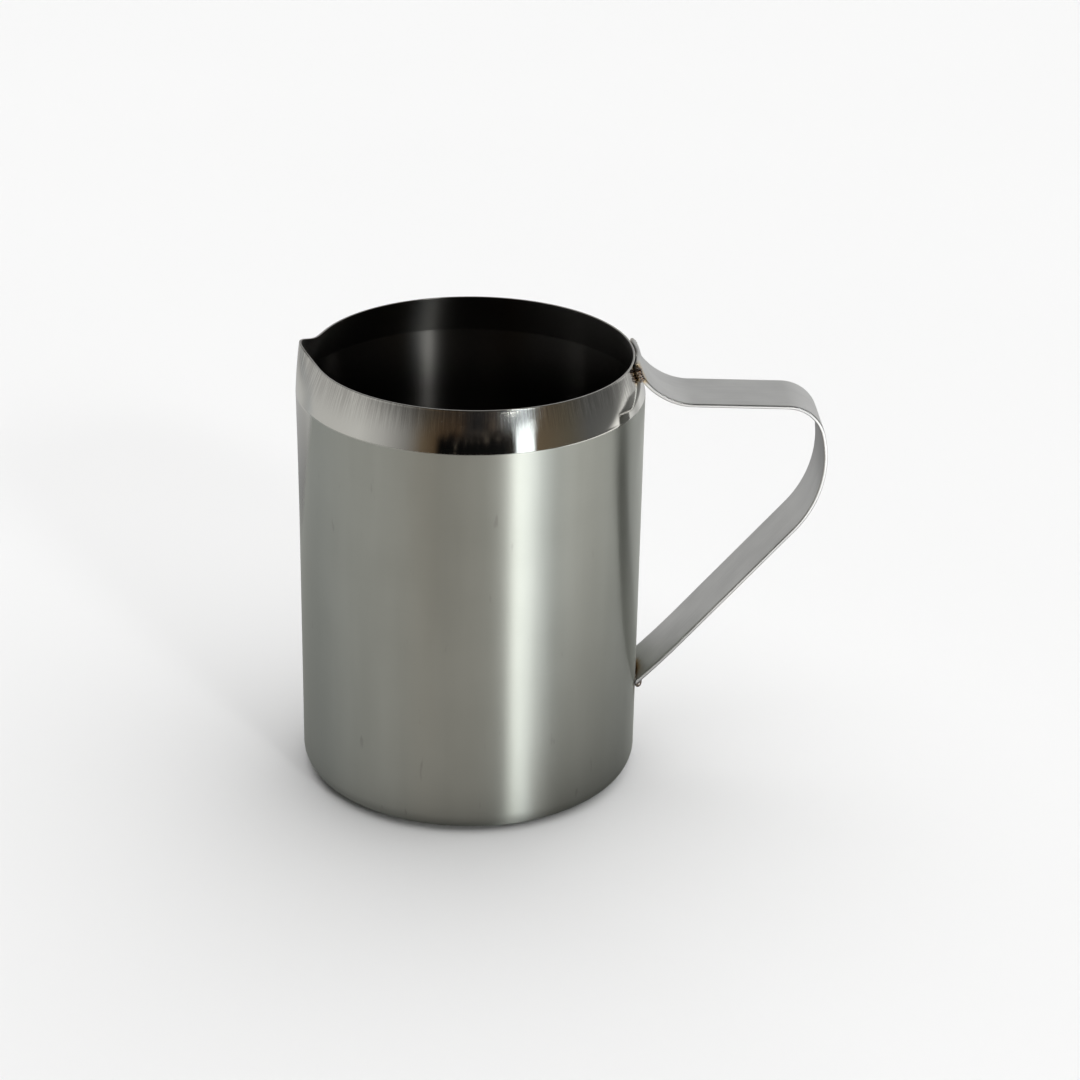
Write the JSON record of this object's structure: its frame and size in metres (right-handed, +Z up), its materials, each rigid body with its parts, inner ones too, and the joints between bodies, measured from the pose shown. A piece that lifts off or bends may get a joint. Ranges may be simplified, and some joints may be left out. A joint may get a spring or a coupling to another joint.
{
  "type": "pouring pot",
  "caption": "Small straight-sided steel pouring pot with a tapered shoulder, a pressed beak and a bent strap handle.",
  "frame": {"origin": "on the cup's axis, at the outside of its flat base", "axes": "+Z up along the cup's axis, +X from the axis towards the handle, so that the beak points along -X"},
  "size_m": [0.1147, 0.075, 0.0995],
  "materials": {
    "satin_steel": "stainless steel, brushed round the wall, brighter on the shoulder",
    "strap_steel": "stainless steel strip, fine satin",
    "weld_metal": "stainless weld metal with a straw to brown heat tint"
  },
  "bodies": {
    "root": {"pot_body": "satin_steel", "strap_handle": "strap_steel", "weld_upper_front": "weld_metal", "weld_upper_back": "weld_metal", "weld_lower": "weld_metal"}
  },
  "joints": []
}
